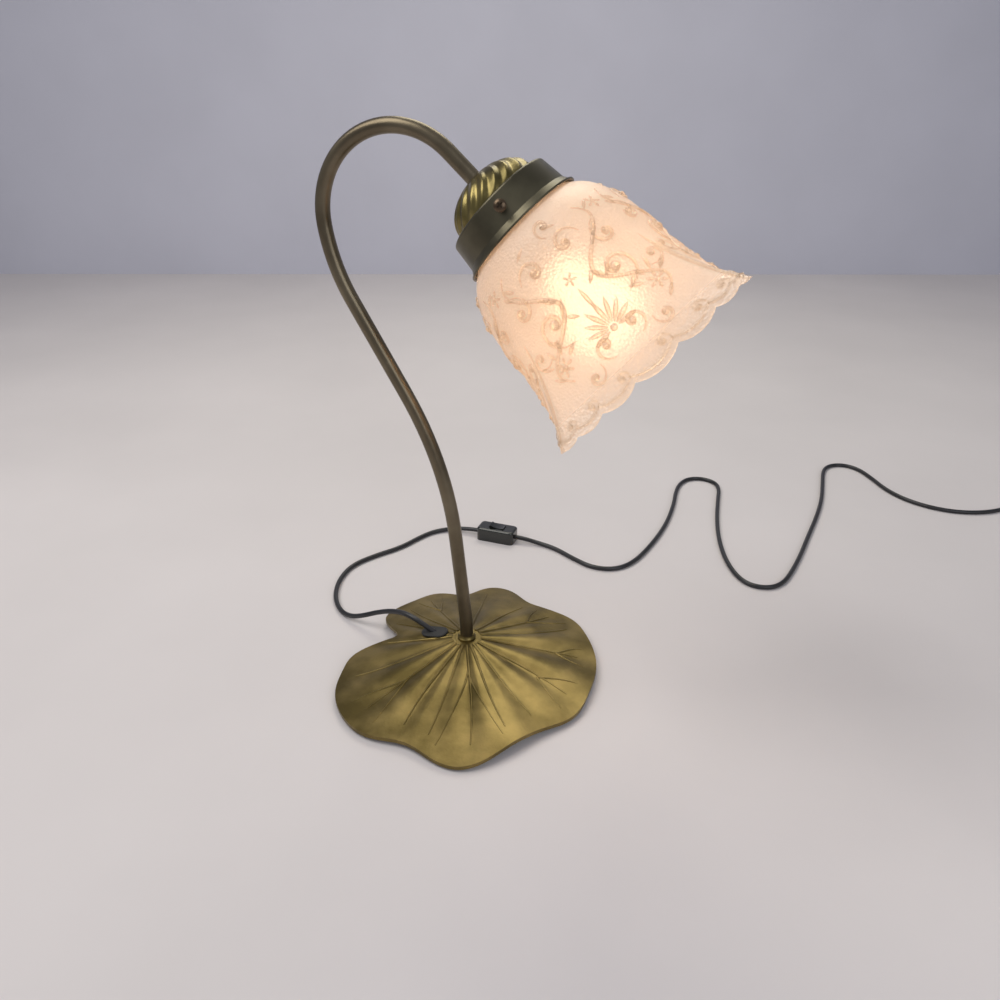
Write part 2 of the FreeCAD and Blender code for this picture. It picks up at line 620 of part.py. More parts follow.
# ---- socket and bulb -----------------------------------------------------------------
def build_socket(nodes):
    """Keyless socket hung on the nipple, from its cap to its screw shell."""
    top = CAP_H + HOLDER_WALL + HEAD_NUT_H
    rim = top + SOCKET_CAP_H
    wall = SOCKET_WALL
    hub = THREAD_R + 2.0
    shoulder = top + SOCKET_HUB_H
    inner = THREAD_R + SHAFT_GAP
    nodes["socket_cap"] = turned([
        (inner, top), (hub, top), (hub, shoulder), (SOCKET_R - 3, shoulder + 1.2),
        (SOCKET_R, shoulder + 4.5), (SOCKET_R, rim), (SOCKET_R - wall, rim),
        (SOCKET_R - wall, shoulder + 4.5 + 0.4 * wall),
        (SOCKET_R - 3 - 0.4 * wall, shoulder + 1.2 + wall), (inner, shoulder + wall)])
    shell_r = SOCKET_R - wall - SHAFT_GAP
    shell_top = rim - SOCKET_LAP
    nodes["socket_shell"] = ring(shell_r, shell_r - wall, shell_top, shell_top + SOCKET_H)
    sleeve_r = shell_r - wall - SHAFT_GAP
    nodes["socket_sleeve"] = ring(sleeve_r, sleeve_r - SLEEVE_WALL, shell_top, shell_top + SOCKET_H - 2)
    core_r = sleeve_r - SLEEVE_WALL - SHAFT_GAP
    core_low = shell_top + CORE_H
    nodes["socket_core"] = rod(core_r, shell_top, core_low)
    screw_shell = ring(SCREW_SHELL_R + 0.3, SCREW_SHELL_R, core_low, core_low + SCREW_SHELL_H)
    nodes["screw_shell"] = screw_shell.fuse(ring(SCREW_SHELL_R + 0.3, 6.0, core_low, core_low + 0.4))
    nodes["socket_contact"] = turned([
        (0, core_low), (3.6, core_low), (3.6, core_low + 0.5), (2.4, core_low + CONTACT_H),
        (0, core_low + CONTACT_H)])
    return core_low + CONTACT_H


def build_bulb(nodes, seat):
    """Round frosted bulb with its screw base, from the contact at its tip."""
    base_low = seat + 4.0
    base_top = seat + BULB_BASE_H
    tip = seat + BULB_LENGTH
    globe = tip - BULB_R
    nodes["bulb_base"] = turned([
        (0, seat + SHAFT_GAP), (4.5, seat + SHAFT_GAP), (5.0, seat + 1.2), (BULB_BASE_R - 2.5, base_low - 1),
        (BULB_BASE_R - 0.6, base_low + 1), (BULB_BASE_R, base_low + 2), (BULB_BASE_R, base_top),
        (BULB_BASE_R - 0.8, base_top), (BULB_BASE_R - 0.8, base_low + 3), (0, base_low + 3)])
    neck = BULB_BASE_R - 0.8 - SHAFT_GAP
    side = math.radians(28)
    waist_r, waist = 0.64 * BULB_R, globe - 0.92 * BULB_R
    across, up = math.cos(side), math.sin(side)
    r = BULB_R - BULB_WALL
    nodes["bulb_glass"] = turned([
        (neck, base_low + 4), (neck, base_top + 4),
        (BULB_R * across, globe - BULB_R * up, waist_r, waist),
        (0, tip, BULB_R * across, globe + BULB_R * up), (0, tip - BULB_WALL),
        (r * across, globe - r * up, r * across, globe + r * up),
        (neck - BULB_WALL, base_top + 4, waist_r - BULB_WALL, waist + 0.6 * BULB_WALL),
        (neck - BULB_WALL, base_low + 4)])


# ---- in-line switch and plug ---------------------------------------------------------
def build_switch(nodes):
    """Rocker switch on the cord: two shells, rocker, pivot, contacts and screws."""
    half_l, half_w = SWITCH_L / 2, SWITCH_W / 2

    def block(inset, low, high):
        body = Part.makeBox(SWITCH_L - 2 * inset, SWITCH_W - 2 * inset, high - low,
                            Vec(-half_l + inset, -half_w + inset, low))
        upright = [e for e in body.Edges if e.BoundBox.ZLength > 1]
        return body.makeFillet(SWITCH_ROUND - inset, upright)

    def softened(body, z, radius):
        return body.makeFillet(radius, [e for e in body.Edges if abs(e.BoundBox.ZMin - z) < 0.01
                                        and e.BoundBox.ZLength < 0.01])

    wall = SWITCH_WALL
    room_l, room_w = SWITCH_L - 2 * (CORD_IN_SWITCH + wall), SWITCH_W - 2 * wall
    room = Part.makeBox(room_l, room_w, SWITCH_H - 2 * wall, Vec(-room_l / 2, -room_w / 2, wall))
    bore_r = CORD_D / 2 + SLIP_GAP
    cord_bores = [Part.makeCylinder(bore_r, CORD_IN_SWITCH, Vec(x, 0, SWITCH_SPLIT), Vec(1, 0, 0))
                  for x in (-half_l, half_l - CORD_IN_SWITCH)]
    lower = block(0, 0, SWITCH_SPLIT).cut(room)
    upper = softened(block(0, SWITCH_SPLIT, SWITCH_H), SWITCH_H, 2.4).cut(room)
    window_l, window_w = ROCKER_L + 2 * ROCKER_GAP, ROCKER_W + 2 * ROCKER_SIDE_GAP
    window = Part.makeBox(window_l, window_w, SWITCH_H, Vec(-window_l / 2, -window_w / 2, SWITCH_H / 2))
    pivot_z = SWITCH_H - PIVOT_DROP
    post_x, post_y = half_l - 8.0, 6.5
    places = [Vec(s * post_x, s * post_y, 0) for s in (-1, 1)]
    post_h = SWITCH_H - wall - SWITCH_SPLIT
    posts = [Part.makeCylinder(POST_R, post_h, at + UP * SWITCH_SPLIT) for at in places]
    bracket_in = window_w / 2
    bracket_w = half_w - wall - bracket_in
    ears = [Part.makeBox(6, bracket_w + 0.5, post_h - 0.5,
                         Vec(-3, bracket_in if s > 0 else -bracket_in - bracket_w - 0.5, SWITCH_SPLIT + 0.5))
            for s in (-1, 1)]
    pin_bore = Part.makeCylinder(PIVOT_R, SWITCH_W, Vec(0, -half_w, pivot_z), Vec(0, 1, 0))
    pin_half = bracket_in + 2.2
    pin_room = pin_bore.common(Part.makeBox(9, 2 * pin_half, 9, Vec(-4.5, -pin_half, pivot_z - 4.5)))
    upper = upper.cut(window).fuse(posts + ears).cut([pin_room] + cord_bores)
    lower_posts = [Part.makeCylinder(POST_R, SWITCH_SPLIT - wall, at + UP * wall) for at in places]
    lower = lower.fuse(lower_posts).cut(cord_bores)
    screws = []
    for at in places:
        head = Part.makeCylinder(CASE_SCREW_HEAD_R, 1.6, at + UP * (CASE_SCREW_SINK - 1.6))
        shank = Part.makeCylinder(CASE_SCREW_R, CASE_SCREW_L, at + UP * CASE_SCREW_SINK)
        hole = Part.makeCylinder(CASE_SCREW_R + SHAFT_GAP, CASE_SCREW_SINK + CASE_SCREW_L, at)
        sink = Part.makeCylinder(CASE_SCREW_HEAD_R + SLIP_GAP, CASE_SCREW_SINK, at)
        lower = lower.cut([sink, hole])
        upper = upper.cut(hole)
        screws.append(head.fuse(shank))
    pin_end = Vec(0, -pin_half + SLIP_GAP, pivot_z)
    pin = Part.makeCylinder(PIVOT_R - 0.4 * SHAFT_GAP, -2 * pin_end.y, pin_end, Vec(0, 1, 0))

    half_r = ROCKER_L / 2
    peak = SWITCH_H + ROCKER_PROUD
    outline = [(-half_r, SWITCH_H - 1.5), (-half_r, peak), (half_r, peak, 0, SWITCH_H + 0.9),
               (half_r, SWITCH_H - 1.5), (3.0, pivot_z - 2.4), (1.4, pivot_z - 3.4), (-1.4, pivot_z - 3.4),
               (-3.0, pivot_z - 2.4)]
    rocker = Part.Face(Part.Wire(edges_of(outline))).extrude(Vec(0, ROCKER_W, 0))
    rocker.translate(Vec(0, -ROCKER_W / 2, 0))
    swivel = Part.makeCylinder(PIVOT_R + SHAFT_GAP, SWITCH_W, Vec(0, -half_w, pivot_z), Vec(0, 1, 0))
    rocker = rocker.cut(swivel)
    rocker.rotate(Vec(0, 0, pivot_z), Vec(0, 1, 0), ROCKER_TILT)

    strips = [Part.makeBox(9, 3.2, 0.6, Vec(-12 if s < 0 else 3, -1.6, wall)) for s in (-1, 1)]
    made = {"switch_lower_shell": lower, "switch_upper_shell": upper, "switch_rocker": rocker,
            "switch_pivot": pin, "switch_contacts": Part.makeCompound(strips),
            "switch_screws": Part.makeCompound(screws)}
    for name, shape in made.items():
        shape.translate(Vec(SWITCH_X, SWITCH_Y, 0))
        nodes[name] = shape
    print("rocker pivot", SWITCH_X + STEM_X, SWITCH_Y + STEM_Y, pivot_z)


def build_plug(nodes):
    """Flat two-blade plug that lies on the table, with a tapered strain relief."""
    low = Vec(0, 0, PLUG_T / 2)

    def section(x, width, height):
        y, z, c = width / 2, height / 2, min(width, height) * 0.28
        outline = [(-y + c, -z), (y - c, -z), (y, -z + c), (y, z - c), (y - c, z), (-y + c, z), (-y, z - c),
                   (-y, -z + c)]
        return Part.makePolygon([Vec(x, a, b) for a, b in outline + outline[:1]])

    neck = CORD_D + 1.6
    root = section(PLUG_NOSE, neck + 3.4, neck + 2.4)
    body = Part.makeLoft([section(0, neck, neck), root], True, True)
    body = body.fuse(Part.makeLoft([
        root, section(PLUG_NOSE + 0.25 * PLUG_L, PLUG_W - 4, PLUG_T - 2),
        section(PLUG_NOSE + 0.6 * PLUG_L, PLUG_W, PLUG_T), section(PLUG_NOSE + PLUG_L, PLUG_W, PLUG_T)],
        True, True))
    for k in range(4):
        x = 3.5 + 4.2 * k
        groove = Part.makeBox(1.4, 40, 40, Vec(x, -20, -20))
        core = Part.makeCylinder(neck / 2 - 0.2, 1.4, Vec(x, 0, 0), Vec(1, 0, 0))
        body = body.cut(groove.cut(core))
    body = body.cut(Part.makeCylinder(CORD_D / 2 + SLIP_GAP, CORD_IN_SWITCH, CENTRE, Vec(1, 0, 0)))
    face = PLUG_NOSE + PLUG_L
    blades = []
    for s in (-1, 1):
        at = Vec(face - 6, s * BLADE_PITCH / 2 - BLADE_T / 2, -BLADE_W / 2)
        blade = Part.makeBox(BLADE_L + 6, BLADE_T, BLADE_W, at)
        nose = [e for e in blade.Edges if e.BoundBox.XMin > face + BLADE_L - 0.01 and e.BoundBox.YLength > 1]
        blade = blade.makeChamfer(1.4, nose)
        eye = Vec(face + BLADE_L - 5, s * BLADE_PITCH / 2 - 5, 0)
        blade = blade.cut(Part.makeCylinder(1.6, 10, eye, Vec(0, 1, 0)))
        body = body.cut(Part.makeBox(BLADE_L + 6, BLADE_T, BLADE_W, at))
        blades.append(blade)
    place = Vec(PLUG_POINT[0], PLUG_POINT[1], 0) + low
    for name, shape in (("plug_body", body), ("plug_blades", Part.makeCompound(blades))):
        shape.rotate(CENTRE, UP, PLUG_HEADING)
        shape.translate(place)
        nodes[name] = shape


def build_cords(nodes, free_end, along):
    """Cord from the leaf to the switch, and from the switch to the plug."""
    risen = free_end - along * CORD_RISE
    print("cord leaves the grommet at", free_end, "and runs to", risen)
    switch_side = SWITCH_L / 2 - CORD_IN_SWITCH, SWITCH_L / 2 + CORD_APPROACH
    arrive = [(SWITCH_X - x, SWITCH_Y, SWITCH_SPLIT) for x in reversed(switch_side)]
    nodes["cord_lamp_side"] = routed([free_end, risen, *LAMP_ROUTE, *arrive], CORD_D / 2, "cord_lamp_side")
    leave = [(SWITCH_X + x, SWITCH_Y, SWITCH_SPLIT) for x in switch_side]
    a = math.radians(PLUG_HEADING)
    meet = [(PLUG_POINT[0] + d * math.cos(a), PLUG_POINT[1] + d * math.sin(a), PLUG_T / 2)
            for d in (-PLUG_APPROACH, CORD_IN_SWITCH)]
    nodes["cord_plug_side"] = routed([*leave, *PLUG_ROUTE, *meet], CORD_D / 2, "cord_plug_side")


# ---- assembly ------------------------------------------------------------------------
def main():
    foot, head_pieces, on_table = {}, {}, {}
    free_end, along, lead_end = build_foot(foot)
    head = build_neck(foot, free_end, along, lead_end)
    build_cap_and_holder(head_pieces)
    build_shade_screws(head_pieces)
    build_shade(head_pieces)
    build_bulb(head_pieces, build_socket(head_pieces))
    build_switch(on_table)
    build_plug(on_table)
    build_cords(on_table, free_end, along)
    stem = FreeCAD.Placement(Vec(STEM_X, STEM_Y, 0), FreeCAD.Rotation())
    placed = {}
    for name, shape in {**foot, **on_table}.items():
        placed[name] = (shape, stem)
    for name, shape in head_pieces.items():
        placed[name] = (shape, stem.multiply(head))
    lamp_box = FreeCAD.BoundBox()
    for name, (shape, placement) in placed.items():
        shape = shape.copy()
        shape.transformShape(placement.toMatrix(), True)
        shape.exportStep("parts/" + name + ".step")
        if name not in on_table:
            lamp_box.add(shape.BoundBox)
        if not shape.isValid() or len(shape.Solids) < 1:
            print("CHECK", name, "valid", shape.isValid(), "solids", len(shape.Solids))
    print(len(placed), "nodes, lamp box", lamp_box)


main()
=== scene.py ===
"""Looks of the tulip shade table lamp: finishes, cords, veins, glass relief, light and camera."""
from __future__ import annotations

import logging
import math
from dataclasses import dataclass, field
from enum import Enum

import bpy
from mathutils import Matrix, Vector
from mathutils.bvhtree import BVHTree

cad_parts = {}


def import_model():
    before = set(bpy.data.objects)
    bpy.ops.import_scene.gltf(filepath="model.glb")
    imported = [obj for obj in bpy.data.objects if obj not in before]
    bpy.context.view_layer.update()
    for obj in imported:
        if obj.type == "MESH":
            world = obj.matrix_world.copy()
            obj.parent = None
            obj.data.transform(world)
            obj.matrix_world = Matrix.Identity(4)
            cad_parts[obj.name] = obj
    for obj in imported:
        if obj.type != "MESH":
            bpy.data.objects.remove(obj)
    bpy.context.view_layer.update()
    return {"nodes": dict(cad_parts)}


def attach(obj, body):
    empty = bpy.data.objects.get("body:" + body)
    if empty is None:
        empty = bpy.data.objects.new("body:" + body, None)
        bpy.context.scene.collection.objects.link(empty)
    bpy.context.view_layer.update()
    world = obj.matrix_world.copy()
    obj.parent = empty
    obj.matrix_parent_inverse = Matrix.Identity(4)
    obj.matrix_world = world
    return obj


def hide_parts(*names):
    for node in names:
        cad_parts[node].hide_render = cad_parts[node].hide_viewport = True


LOG = logging.getLogger("lamp")
MM = 0.001
STEM = Vector((-48.8, 9.6, 0.0)) * MM
LAMP = "lamp"
PATCH_LOW, PATCH_HIGH = 0.36, 0.68
GLOSSIER, DULLER = 0.07, 0.09
# Painted glow on the shade glass: full emission within GLOW_NEAR of the bulb, falling to GLOW_EDGE_SHARE of it at
# the edge.
GLOW_NEAR, GLOW_EDGE_SHARE = 0.03, 0.34
RIM_CLEARS_AT, RIM_CLEAR_AT, RIM_ROUGHNESS = 0.166, 0.171, 0.08
STIPPLE_SCALE, STIPPLE_DEPTH = 520.0, 0.0006


class Side(Enum):
    """Which way a curl winds, seen from outside the glass."""

    LEFT = -1
    RIGHT = 1


# ---- finishes ------------------------------------------------------------------------
@dataclass(frozen=True)
class Finish:
    """A surface finish whose grain and wear are worked out on object coordinates."""

    name: str
    colour: tuple[float, float, float]
    worn: tuple[float, float, float]
    metallic: float
    roughness: float
    patch_scale: float = 40.0
    bump_scale: float = 900.0
    bump: float = 0.15
    depth: float = 0.0003
    coat: float = 0.0

    def material(self) -> bpy.types.Material:
        """Builds the finish.

        Returns:
            The material, ready to assign.
        """
        made = bpy.data.materials.new(self.name)
        made.use_nodes = True
        made.diffuse_color = (*self.colour, 1.0)
        nodes, links = made.node_tree.nodes, made.node_tree.links
        shader = nodes["Principled BSDF"]
        shader.inputs["Metallic"].default_value = self.metallic
        shader.inputs["Coat Weight"].default_value = self.coat
        place = nodes.new("ShaderNodeTexCoord")
        patches = nodes.new("ShaderNodeTexNoise")
        patches.inputs["Scale"].default_value = self.patch_scale
        patches.inputs["Detail"].default_value = 5.0
        grain = nodes.new("ShaderNodeTexNoise")
        grain.inputs["Scale"].default_value = self.bump_scale
        grain.inputs["Detail"].default_value = 3.0
        tones = nodes.new("ShaderNodeValToRGB")
        tones.color_ramp.elements[0].position = PATCH_LOW
        tones.color_ramp.elements[0].color = (*self.colour, 1.0)
        tones.color_ramp.elements[1].position = PATCH_HIGH
        tones.color_ramp.elements[1].color = (*self.worn, 1.0)
        gloss = nodes.new("ShaderNodeMapRange")
        gloss.inputs["To Min"].default_value = self.roughness - GLOSSIER
        gloss.inputs["To Max"].default_value = self.roughness + DULLER
        relief = nodes.new("ShaderNodeBump")
        relief.inputs["Strength"].default_value = self.bump
        relief.inputs["Distance"].default_value = self.depth
        for texture in (patches, grain):
            links.new(place.outputs["Object"], texture.inputs["Vector"])
        links.new(patches.outputs["Fac"], tones.inputs["Fac"])
        links.new(tones.outputs["Color"], shader.inputs["Base Color"])
        links.new(patches.outputs["Fac"], gloss.inputs["Value"])
        links.new(gloss.outputs["Result"], shader.inputs["Roughness"])
        links.new(grain.outputs["Fac"], relief.inputs["Height"])
        links.new(relief.outputs["Normal"], shader.inputs["Normal"])
        return made


@dataclass(frozen=True)
class GlowPaintedGlass:
    """Pressed glass with a painted glow: emission that stands in for the bulb's light, brightest near the bulb."""

    name: str
    colour: tuple[float, float, float]
    glow: tuple[float, float, float]
    strength: float
    reach: float
    transmission: float
    roughness: float
    stipple: float

    def material(self, bulb: Vector, start: Vector, axis: Vector) -> bpy.types.Material:
        """Builds the glass.

        Args:
            bulb: Centre of the painted glow, in the lamp's frame.
            start: Where the head axis starts.
            axis: Direction of the head axis.

        Returns:
            The material, ready to assign.
        """
        made = bpy.data.materials.new(self.name)
        made.use_nodes = True
        made.diffuse_color = (*self.colour, 0.6)
        nodes, links = made.node_tree.nodes, made.node_tree.links
        shader = nodes["Principled BSDF"]
        shader.inputs["Base Color"].default_value = (*self.colour, 1.0)
        shader.inputs["Transmission Weight"].default_value = self.transmission
        shader.inputs["IOR"].default_value = 1.46
        shader.inputs["Emission Color"].default_value = (*self.glow, 1.0)
        place = nodes.new("ShaderNodeTexCoord")
        away = nodes.new("ShaderNodeVectorMath")
        away.operation = "DISTANCE"
        away.inputs[1].default_value = bulb
        fall = nodes.new("ShaderNodeMapRange")
        fall.interpolation_type = "SMOOTHSTEP"
        fall.inputs["From Min"].default_value = GLOW_NEAR
        fall.inputs["From Max"].default_value = self.reach
        fall.inputs["To Min"].default_value = self.strength
        fall.inputs["To Max"].default_value = self.strength * GLOW_EDGE_SHARE
        from_start = nodes.new("ShaderNodeVectorMath")
        from_start.operation = "SUBTRACT"
        from_start.inputs[1].default_value = start
        along = nodes.new("ShaderNodeVectorMath")
        along.operation = "DOT_PRODUCT"
        along.inputs[1].default_value = axis
        clearing = nodes.new("ShaderNodeMapRange")
        clearing.inputs["From Min"].default_value = RIM_CLEARS_AT
        clearing.inputs["From Max"].default_value = RIM_CLEAR_AT
        clearing.inputs["To Min"].default_value = self.roughness
        clearing.inputs["To Max"].default_value = min(self.roughness, RIM_ROUGHNESS)
        dots = nodes.new("ShaderNodeTexVoronoi")
        dots.inputs["Scale"].default_value = STIPPLE_SCALE
        relief = nodes.new("ShaderNodeBump")
        relief.inputs["Strength"].default_value = self.stipple
        relief.inputs["Distance"].default_value = STIPPLE_DEPTH
        links.new(place.outputs["Object"], away.inputs[0])
        links.new(away.outputs["Value"], fall.inputs["Value"])
        # Painted glow: emission strength falls off with distance from the bulb.
        links.new(fall.outputs["Result"], shader.inputs["Emission Strength"])
        links.new(place.outputs["Object"], from_start.inputs[0])
        links.new(from_start.outputs["Vector"], along.inputs[0])
        links.new(along.outputs["Value"], clearing.inputs["Value"])
        links.new(clearing.outputs["Result"], shader.inputs["Roughness"])
        links.new(place.outputs["Object"], dots.inputs["Vector"])
        links.new(dots.outputs["Distance"], relief.inputs["Height"])
        links.new(relief.outputs["Normal"], shader.inputs["Normal"])
        return made


ANTIQUE_BRASS = Finish("antique_brass", (0.125, 0.092, 0.028), (0.27, 0.20, 0.072), 0.85, 0.36, 34.0, 420.0, 0.35)
# Dark lines laid along the veins, drawn for the dark incised lines beside them; the grooves themselves are not
# modelled.
DARK_VEIN_LINE = Finish("dark_vein_line", (0.032, 0.022, 0.008), (0.07, 0.05, 0.018), 0.6, 0.5, 34.0, 420.0, 0.3)
BRASS_CAP = Finish("brass_cap", (0.10, 0.082, 0.03), (0.27, 0.215, 0.08), 0.9, 0.3, 60.0, 500.0, 0.15)
BRONZE = Finish("bronze", (0.125, 0.10, 0.065), (0.20, 0.165, 0.11), 0.85, 0.33, 25.0, 1500.0, 0.08)
HOLDER = Finish("holder_bronze", (0.08, 0.07, 0.045), (0.135, 0.12, 0.078), 0.8, 0.36, 30.0, 1500.0, 0.08)
STEEL = Finish("plated_steel", (0.42, 0.41, 0.38), (0.6, 0.59, 0.56), 1.0, 0.3)
DARK_SCREW = Finish("dark_screw", (0.10, 0.07, 0.045), (0.22, 0.16, 0.10), 0.9, 0.33)
SOCKET = Finish("socket_brass", (0.5, 0.36, 0.12), (0.7, 0.55, 0.25), 1.0, 0.3)
BULB_METAL = Finish("bulb_metal", (0.55, 0.55, 0.54), (0.72, 0.72, 0.71), 1.0, 0.28)
PORCELAIN = Finish("porcelain", (0.7, 0.68, 0.62), (0.78, 0.76, 0.7), 0.0, 0.3)
CARD = Finish("card", (0.2, 0.16, 0.11), (0.28, 0.23, 0.17), 0.0, 0.8)
RUBBER = Finish("rubber", (0.012, 0.012, 0.012), (0.025, 0.025, 0.025), 0.0, 0.6)
VINYL = Finish("vinyl", (0.010, 0.010, 0.012), (0.022, 0.022, 0.025), 0.0, 0.36, bump=0.05)
PLASTIC = Finish("switch_plastic", (0.007, 0.008, 0.007), (0.014, 0.016, 0.012), 0.0, 0.16, bump=0.03, coat=0.5)
BLADE = Finish("blade_brass", (0.5, 0.36, 0.12), (0.7, 0.55, 0.25), 1.0, 0.25)
# Painted light: the warm tint of these glass colours and their glow stand in for the lit bulb's warm light through
# the shade.
SHADE_GLASS = GlowPaintedGlass("shade_glass", (0.90, 0.80, 0.70), (1.0, 0.62, 0.36), 0.30, 0.12, 0.6, 0.40, 0.6)
RELIEF_GLASS = GlowPaintedGlass("relief_glass", (0.95, 0.88, 0.80), (1.0, 0.66, 0.40), 0.07, 0.13, 0.9, 0.10, 0.0)
RIM_GLASS = GlowPaintedGlass("rim_glass", (0.96, 0.92, 0.86), (1.0, 0.68, 0.42), 0.05, 0.13, 0.92, 0.06, 0.0)

NODE_FINISHES: dict[str, Finish] = {
    "base_leaf": ANTIQUE_BRASS, "stem_collar": ANTIQUE_BRASS, "cap_dome": BRASS_CAP, "neck_tube": BRONZE,
    "shade_holder": HOLDER, "shade_screw_1": DARK_SCREW, "shade_screw_2": DARK_SCREW,
    "shade_screw_3": DARK_SCREW, "base_nipple": STEEL, "base_nut": STEEL, "base_washer": STEEL,
    "head_nipple": STEEL, "head_nut": STEEL, "foot_pads": RUBBER, "cord_grommet": RUBBER,
    "inner_lead": VINYL, "socket_cap": SOCKET, "socket_shell": SOCKET, "screw_shell": SOCKET,
    "socket_contact": SOCKET, "socket_sleeve": CARD, "socket_core": PORCELAIN, "bulb_base": BULB_METAL,
    "switch_lower_shell": PLASTIC, "switch_upper_shell": PLASTIC, "switch_rocker": PLASTIC,
    "switch_pivot": STEEL, "switch_contacts": BLADE, "switch_screws": STEEL, "plug_body": RUBBER,
    "plug_blades": BLADE,
}


# ---- shared making -------------------------------------------------------------------
def smooth_line(name: str, points: list[Vector], thickness: float, widths: list[float] | None = None,
                resolution: int = 3, along: int = 2) -> bpy.types.Object:
    """Draws a round bar along points.

    Args:
        name: Name of the new piece.
        points: Control points of its middle line, in metres.
        thickness: Radius of the bar.
        widths: Share of the radius at each point.
        resolution: Sides of a quarter of the bar.
        along: Steps between two control points.

    Returns:
        The curve object.
    """
    data = bpy.data.curves.new(name, "CURVE")
    data.dimensions = "3D"
    spline = data.splines.new("NURBS")
    spline.points.add(len(points) - 1)
    for k, point in enumerate(points):
        spline.points[k].co = (*point, 1.0)
        spline.points[k].radius = widths[k] if widths else 1.0
    spline.order_u = 3
    spline.use_endpoint_u = True
    spline.resolution_u = along
    data.bevel_depth = thickness
    data.bevel_resolution = resolution
    data.use_fill_caps = True
    piece = bpy.data.objects.new(name, data)
    bpy.context.scene.collection.objects.link(piece)
    return piece


def joined(pieces: list[bpy.types.Object], name: str) -> bpy.types.Object:
    """Makes pieces into one mesh piece.

    Args:
        pieces: Curves or meshes.
        name: Name of the result.

    Returns:
        The joined mesh object.
    """
    bpy.ops.object.select_all(action="DESELECT")
    for piece in pieces:
        piece.select_set(True)
    bpy.context.view_layer.objects.active = pieces[0]
    bpy.ops.object.convert(target="MESH")
    bpy.ops.object.join()
    made = bpy.context.view_layer.objects.active
    bpy.ops.object.transform_apply(location=True, rotation=True, scale=True)
    bpy.ops.object.shade_smooth()
    made.name = name
    return made


def dressed(piece: bpy.types.Object, material: bpy.types.Material, body: str = LAMP) -> None:
    """Gives a piece its finish and its body.

    Args:
        piece: The piece.
        material: Its only material.
        body: Body that carries it.
    """
    piece.data.materials.clear()
    piece.data.materials.append(material)
    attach(piece, body)
    LOG.info("made %s", piece.name)


def assign(node: bpy.types.Object, material: bpy.types.Material) -> None:
    """Puts a finish in every material slot of a solid, whose mesh stays as it is.

    Args:
        node: The solid.
        material: Its finish.
    """
    for slot in node.material_slots:
        slot.material = material
    if not node.material_slots:
        LOG.warning("%s has no material slot", node.name)


def tree_of(piece: bpy.types.Object) -> BVHTree:
    """Search tree of a node's mesh, which stands at the origin."""
    data = piece.data
    return BVHTree.FromPolygons([v.co for v in data.vertices], [p.vertices for p in data.polygons])


# ---- foot ----------------------------------------------------------------------------
@dataclass
class LeafFoot:
    """Cast lily leaf with raised veins and a rolled rim."""

    node: bpy.types.Object
    vein_bearings: tuple[float, ...] = (-166, -139, -115, -95, -83, -66, -51, -37, -14, 16, 41, 56, 74, 101,
                                        120, 136, 152, 170)
    forks: tuple[tuple[float, float, float], ...] = ((-66, 46, 13), (-14, 78, 9), (56, 70, 9), (-115, 72, 8),
                                                     (136, 66, 8), (16, 84, 7))
    vein_r: float = 1.7 * MM
    vein_sunk: float = 0.45 * MM
    dark_line_r: float = 3.0 * MM
    dark_line_sunk: float = 2.75 * MM
    reach: float = 0.86
    tree: BVHTree = field(init=False)

    def __post_init__(self) -> None:
        """Prepares the search tree of the leaf."""
        self.tree = tree_of(self.node)

    def on_top(self, bearing: float, radius: float, lift: float = 0.0) -> Vector | None:
        """Finds the leaf's top.

        Args:
            bearing: Degrees round the stem.
            radius: Distance from the stem, in millimetres.
            lift: Height above the top, in metres.

        Returns:
            The point, or None outside the leaf.
        """
        a = math.radians(bearing)
        above = STEM + Vector((radius * math.cos(a), radius * math.sin(a), 60.0)) * MM
        hit = self.tree.ray_cast(above, Vector((0, 0, -1)), 0.1)[0]
        return hit + Vector((0, 0, lift)) if hit else None

    def rim(self, bearing: float) -> float:
        """Radius of the rim at a bearing, in millimetres."""
        radius = 40.0
        while radius < 160 and self.on_top(bearing, radius):
            radius += 1.0
        return radius

    def vein(self, name: str, start: tuple[float, float], end: tuple[float, float], sway: float,
             thick: float, dark_line: bool = False) -> bpy.types.Object:
        """Draws one vein, or the dark line beside it, which thins towards its end.

        Args:
            name: Name of the piece.
            start: Bearing and radius where it starts.
            end: Bearing and radius where it ends.
            sway: Degrees that it bows to one side.
            thick: Share of the full vein radius at its start.
            dark_line: True for the flat dark line under the vein.

        Returns:
            The curve object.
        """
        sunk = self.dark_line_sunk if dark_line else self.vein_sunk
        points, widths = [], []
        for k in range(11):
            t = k / 10
            bearing = start[0] + (end[0] - start[0]) * t + sway * math.sin(math.pi * t)
            radius = start[1] + (end[1] - start[1]) * t
            share = thick * (1.0 - 0.62 * t)
            point = self.on_top(bearing, radius, -sunk * share)
            if point:
                points.append(point)
                widths.append(share)
        return smooth_line(name, points, self.dark_line_r if dark_line else self.vein_r, widths, 2)

    def build(self, brass: bpy.types.Material, dark: bpy.types.Material) -> None:
        """Models the veins and the dark lines beside them.

        Args:
            brass: Brass of the leaf.
            dark: Dark finish of the lines beside the veins.
        """
        for dark_line, name, material in ((False, "leaf_veins", brass), (True, "leaf_vein_dark_line", dark)):
            lines = []
            for k, bearing in enumerate(self.vein_bearings):
                end = self.rim(bearing) * self.reach
                sway = 2.2 * math.sin(1.7 * k)
                lines.append(self.vein("vein", (bearing, 13), (bearing, end), sway, 1.0, dark_line))
            for bearing, radius, spread in self.forks:
                for side in (-1, 1):
                    end = self.rim(bearing + side * spread) * 0.9
                    lines.append(self.vein("fork", (bearing, radius), (bearing + side * spread, end),
                                           side * 1.5, 0.7, dark_line))
            dressed(joined(lines, name), material)


